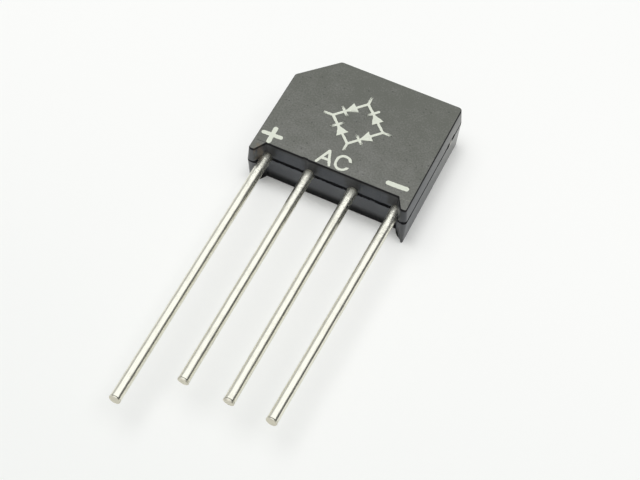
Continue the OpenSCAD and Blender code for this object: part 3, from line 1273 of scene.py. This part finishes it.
@dataclass
class Lead:
    """One tinned lead: a round wire with a cropped tip and a forged end inside the case."""

    node: str
    seat: float
    flat_top: float
    rail_to: float | None = None
    root_shift: float = 0.0
    tip_shift: float = 0.0
    wire_ratio: float = 0.968
    swell: float = 1.05
    runout: tuple[float, float] = (1.7 * MM, 2.3 * MM)
    grip: float = 1.8 * MM
    flat_width: float = 2.4 * MM
    flat_thickness: float = 0.5 * MM
    bend: float = 0.6 * MM
    sides: int = 48
    spacing: float = 0.35 * MM
    tip_room: float = 0.52 * MM
    flare: float = 1.07
    slant: float = 0.0
    slant_pivot: float = 0.13
    ripple: tuple[float, float] = (1.3 * MM, 0.007 * MM)
    sharp: float = 40

    def build(self, tin: bpy.types.Material) -> bpy.types.Object:
        """Models and dresses the lead.

        Args:
            tin: its finish.

        Returns:
            The finished piece.
        """
        low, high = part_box(self.node)
        radius = (high.z - low.z) / 2
        height = (high.z + low.z) / 2
        column = low.x + self.flat_width / 2
        start, end = low.y + self.tip_room, self.seat - self.runout[1]
        bpy.ops.mesh.primitive_cylinder_add(
            vertices=self.sides,
            radius=radius,
            depth=end - start,
            rotation=(math.pi / 2, 0, 0),
            location=(column, (start + end) / 2, height),
        )
        obj = Bench.added(f"{self.node}_tinned")
        Bench.open(obj)
        Bench.pick(obj, Part.EDGES, lambda e: e.calc_length() > (end - start) / 2)
        bpy.ops.mesh.subdivide(number_cuts=int((end - start) / self.spacing))
        self._tip(obj, Vector((column, low.y, height)))
        self._root(obj, end, radius)
        Bench.outward()
        self._lean(obj, low.y)
        Bench.close()
        Bench.ripple(obj, *self.ripple)
        Bench.smooth(obj, self.sharp)
        Bench.keep_in(obj, *CAD_BOX)
        return dress(obj, tin, "tinned_wire", self.node)

    def _lean(self, obj: bpy.types.Object, tip: float) -> None:
        """Sets the wire a little off its column, as a handled lead is.

        Args:
            obj: the lead, in edit mode.
            tip: where its free end lies.
        """
        Bench.pick(obj, Part.CORNERS, lambda v: v.co.y < self.seat + self.grip / 2)
        bpy.ops.transform.translate(value=(self.root_shift, 0, 0))
        swing = (self.tip_shift - self.root_shift) / (self.seat - tip)
        middle = sum((v.co.x for v in obj.data.vertices), 0.0) / len(obj.data.vertices)
        bpy.ops.transform.rotate(
            value=-math.atan(swing),
            orient_axis="Z",
            center_override=(middle, self.seat, 0),
        )

    def _tip(self, obj: bpy.types.Object, end: Vector) -> None:
        """Crops the tip: a shallow crease, a smeared rim and a slightly slanted face.

        Args:
            obj: the lead, in edit mode.
            end: the wire's axis where the free end lies.
        """
        Bench.pick(obj, Part.FACES, lambda f: f.normal.y < -0.9)
        steps = ((0.34, 1.0), (0.10, 0.965), (0.12, self.flare), (0.22, 1.0), (0.09, 0.95))
        for length, scale in steps:
            Bench.pull((0, -self.tip_room * length, 0))
            Bench.grow((scale, 1, scale))
        bpy.ops.transform.rotate(
            value=math.radians(self.slant),
            orient_axis="X",
            center_override=end + Vector((0, self.slant_pivot * self.tip_room, 0)),
        )

    def _root(self, obj: bpy.types.Object, end: float, radius: float) -> None:
        """Runs the coat out, enters the case and forges the inner end flat.

        Args:
            obj: the lead, in edit mode.
            end: where the full coat ends.
            radius: the coated wire's radius.
        """
        Bench.pick(obj, Part.FACES, lambda f: f.normal.y > 0.9)
        Bench.pull((0, self.runout[1] - self.runout[0], 0))
        Bench.pull((0, self.runout[0] * 0.5, 0))
        Bench.grow((self.swell, 1, self.swell))
        Bench.pull((0, self.runout[0] * 0.5 + self.grip * 0.1, 0))
        Bench.pull((0, self.grip * 0.2, 0))
        Bench.grow((self.wire_ratio / self.swell, 1, self.wire_ratio / self.swell))
        Bench.pull((0, self.grip * 0.3, 0))
        Bench.pull((0, self.grip * 0.5, 0))
        bare = 2 * radius * self.wire_ratio
        Bench.grow((self.flat_width / bare, 1, self.flat_thickness / bare))
        reach = self.seat + self.flat_top - (end + self.runout[1] + self.grip * 1.1)
        Bench.pull((0, reach, 0))
        if self.rail_to is not None:
            self._rail()

    def _rail(self) -> None:
        """Turns the flat end, which is picked, towards the other leads and runs it on."""
        inner_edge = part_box(self.node)[0].x + self.flat_width
        middle = (inner_edge + self.bend, self.seat + self.flat_top, 0)
        bpy.ops.mesh.spin(steps=10, angle=-math.pi / 2, center=middle, axis=(0, 0, 1))
        Bench.pull((self.rail_to - middle[0], 0, 0))


# Each lead's node, the height of its flat end above the notch floor, how far its root and its
# tip stand off its column, in millimetres, and its cut's slant in degrees.
LEADS = (
    ("plus_lead", 8.2, -0.17, -0.06, 5),
    ("ac_lead_left", 7.4, -0.05, -0.06, -4),
    ("ac_lead_right", 7.4, 0.13, 0.02, -7),
    ("minus_lead", 5.2, 0.32, -0.28, 4),
)


# ---- printed marks ---------------------------------------------------------------------


@dataclass
class PrintedMark:
    """One printed mark: the CAD mark's outline with uneven edges."""

    node: str
    stretch: tuple[float, float] = (1.0, 1.0)
    shift: tuple[float, float] = (0.0, 0.0)
    ragged: tuple[float, float] = (0.28 * MM, 0.022 * MM)
    spacing: float = 0.09 * MM

    def build(self, ink: bpy.types.Material) -> bpy.types.Object:
        """Models and dresses the mark.

        Args:
            ink: its finish.

        Returns:
            The finished piece.
        """
        source = frame["nodes"][self.node]
        Bench.only(source)
        bpy.ops.object.duplicate()
        obj = bpy.context.active_object
        obj.parent = None
        obj.matrix_world = Matrix.Identity(4)
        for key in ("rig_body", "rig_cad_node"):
            del obj[key]
        obj.name = f"{self.node}_print"
        obj.data.name = obj.name
        Bench.open(obj)
        bpy.ops.mesh.select_all(action="SELECT")
        bpy.ops.mesh.remove_doubles(threshold=SAME_POINT)
        bpy.ops.mesh.dissolve_limited(angle_limit=math.radians(1))
        Bench.outward()
        bpy.ops.transform.resize(value=(*self.stretch, 1))
        bpy.ops.transform.translate(value=(*self.shift, 0))
        for _ in range(5):
            found = Bench.pick(
                obj,
                Part.EDGES,
                lambda e: e.calc_length() > self.spacing
                and abs(e.verts[0].co.z - e.verts[1].co.z) < 2 * SAME_POINT,
            )
            if found:
                bpy.ops.mesh.subdivide(number_cuts=1, quadcorner="INNERVERT")
        Bench.close()
        for way in ("X", "Y"):
            Bench.ripple(obj, *self.ragged, way)
        Bench.keep_in(obj, *CAD_BOX)
        return dress(obj, ink, "ink", self.node)


# ---- inner parts -----------------------------------------------------------------------


@dataclass
class InnerStack:
    """The dice, clips and solder, whose CAD shapes stay and get their own finishes."""

    finishes: dict[str, Callable[[], bpy.types.Material]] = field(
        default_factory=lambda: {
            "die_": Silicon(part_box("die_ac_left_to_plus")[1].z / MM).material,
            "ac_clip_": Copper().material,
            "minus_clip": Copper().material,
            "solder_": Solder().material,
        }
    )

    def build(self) -> None:
        """Dresses every inner node."""
        for start, make in self.finishes.items():
            material = make()
            for name, obj in frame["nodes"].items():
                if name.startswith(start):
                    obj.data.materials.clear()
                    obj.data.materials.append(material)
                    log.info("%s: %s", name, material.name)


# ---- studio ----------------------------------------------------------------------------


@dataclass(frozen=True)
class Lamp:
    """A soft rectangular lamp above the floor."""

    name: str
    place: Colour
    size: tuple[float, float]
    power: float
    tilt: float = 0.0
    colour: Colour = (1.0, 0.995, 0.975)

    def hang(self) -> None:
        """Adds the lamp, which shines down and towards the side it is tilted to."""
        bpy.ops.object.light_add(type="AREA", location=self.place)
        lamp = bpy.context.active_object
        lamp.name = self.name
        lamp.data.shape = "RECTANGLE"
        lamp.data.size, lamp.data.size_y = self.size
        lamp.data.energy = self.power
        lamp.data.color = self.colour
        lamp.rotation_euler = (0, self.tilt, 0)
        lamp.visible_glossy = False


@dataclass
class Studio:
    """A pale floor, a soft dome with a dim horizon, two soft lamps and the camera."""

    target: Vector = field(default_factory=lambda: Vector((1.157, -12.069, 0)) * MM)
    azimuth: float = 24.44
    elevation: float = 57.19
    roll: float = 1.87
    distance: float = 157.65 * MM
    lens: float = 80.46
    floor_half: float = 0.35
    floor_colour: Colour = (0.955, 0.962, 0.950)
    floor_near: Colour = (0.89, 0.905, 0.89)
    floor_lift: float = 0.12
    floor_clear: float = 0.43
    floor_drop: float = 0.01 * MM
    dome: float = 0.27
    dome_colour: Colour = (0.97, 0.98, 1.0)
    horizon: float = 0.15
    glow: float = 1.32
    lamps: tuple[Lamp, ...] = (
        Lamp("overhead_lamp", (0.04, 0.02, 0.55), (0.75, 0.40), 2.55),
        Lamp("side_lamp", (-0.20, 0.16, 0.55), (0.32, 0.50), 0.65, -math.atan(0.36)),
    )

    def build(self) -> None:
        """Sets up the floor, the light and the camera."""
        self._floor()
        self._world()
        for lamp in self.lamps:
            lamp.hang()
        self._camera()
        bpy.context.scene.view_settings.view_transform = "Standard"

    def _floor(self) -> None:
        """Lays the floor just under the case's back."""
        bpy.ops.object.select_all(action="DESELECT")
        bpy.ops.mesh.primitive_plane_add(
            size=2 * self.floor_half, location=(0, 0, CAD_BOX[0].z - self.floor_drop)
        )
        floor = Bench.added("studio_floor")
        r = Recipe("studio_floor")
        nearer = r.axis("Y").band(10, -75)
        tint = r.blend(self.floor_colour, self.floor_near, nearer)
        path = r.node("ShaderNodeLightPath")
        # Painted light: the floor glows to the camera, which lightens its shadows away from the
        # case.
        lift = self.floor_lift + self.floor_clear * self._clear_of_case(r)
        seen = Value(r, path.outputs["Is Camera Ray"]) * lift
        lit = r.blend(tint, BLACK, seen)
        floor.data.materials.append(
            r.finish(
                Base_Color=lit,
                Roughness=0.9,
                Specular_IOR_Level=0.1,
                Emission_Color=r.blend(BLACK, tint, seen),
                Emission_Strength=1.0,
            )
        )

    @staticmethod
    def _clear_of_case(r: Recipe) -> Value:
        """Tells the open floor from the strip along the case, which keeps its full shade.

        Args:
            r: the floor's material.

        Returns:
            0 at the case and 1 from 2 mm away.
        """
        side, top = CAD_BOX[1].x / MM, CAD_BOX[1].y / MM
        beside = abs(r.axis("X")) - side
        before = abs(r.axis("Y")) - top
        return beside.math("MAXIMUM", before).band(0.0, 2.0)

    def _world(self) -> None:
        """Makes the dome: white to the camera, dim near the horizon for the rest."""
        world = bpy.data.worlds.new("studio_dome")
        bpy.context.scene.world = world
        world.use_nodes = True
        r = Recipe("studio_dome", world.node_tree)
        direction = r.node("ShaderNodeTexCoord").outputs["Generated"]
        parts = r.node("ShaderNodeSeparateXYZ", {}, {0: direction})
        up = Value(r, parts.outputs["Z"])
        right = Value(r, parts.outputs["X"])
        rim = up.band(0.74, 0.48) * (0.60 + 0.40 * right.band(-0.5, 0.5))
        mirrored = self.glow * (1 - rim) + self.horizon * rim
        path = r.node("ShaderNodeLightPath")
        seen = Value(r, path.outputs["Is Camera Ray"])
        glossy = Value(r, path.outputs["Is Glossy Ray"])
        strength = self.dome * (1 - glossy) + mirrored * glossy
        strength = strength * (1 - seen) + seen
        tint = r.blend(self.dome_colour, WHITE, seen)
        sky = r.node("ShaderNodeBackground", {}, {"Color": tint, "Strength": strength})
        r.node("ShaderNodeOutputWorld", {}, {"Surface": sky.outputs[0]})

    def _camera(self) -> None:
        """Places the camera from its angles, its distance and its roll."""
        a, e = math.radians(self.azimuth), math.radians(self.elevation)
        back = Vector((math.sin(a) * math.cos(e), -math.cos(a) * math.cos(e), math.sin(e)))
        data = bpy.data.cameras.new("camera")
        camera = bpy.data.objects.new("camera", data)
        bpy.context.scene.collection.objects.link(camera)
        camera.rotation_mode = "QUATERNION"
        camera.location = self.target + back * self.distance
        turn = Quaternion((0, 0, 1), math.radians(self.roll))
        camera.rotation_quaternion = (-back).to_track_quat("-Z", "Y") @ turn
        data.lens = self.lens
        data.sensor_width = 36
        data.clip_start, data.clip_end = 0.01, 10
        bpy.context.scene.camera = camera


def main() -> None:
    """Builds every piece and the studio."""
    logging.basicConfig(level=logging.INFO, format="%(message)s")
    bpy.ops.object.select_all(action="DESELECT")
    low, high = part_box("ac_lead_left")
    plus_low, plus_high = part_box("plus_lead")
    columns = tuple(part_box(row[0])[0].x + Lead.flat_width / 2 for row in LEADS)
    case = MouldedCase((low.z + high.z) / 2, columns)
    case.build()
    tin = Tin(case.seat / MM, low.y / MM, plus_low.y / MM).material()
    for node, flat_top, root_shift, tip_shift, slant in LEADS:
        Lead(
            node=node,
            seat=case.seat,
            flat_top=flat_top * MM,
            rail_to=plus_high.x if node == "plus_lead" else None,
            root_shift=root_shift * MM,
            tip_shift=tip_shift * MM,
            slant=slant,
        ).build(tin)
    ink = Ink().material()
    for mark in (
        PrintedMark("plus_mark", (1.16, 1.08), (-0.16 * MM, 0.10 * MM)),
        PrintedMark("minus_mark", (1.06, 1.28), (-0.05 * MM, 0.03 * MM)),
        PrintedMark("ac_mark"),
        PrintedMark("bridge_symbol"),
    ):
        mark.build(ink)
    InnerStack().build()
    Studio().build()


if __name__ == "__main__":
    main()
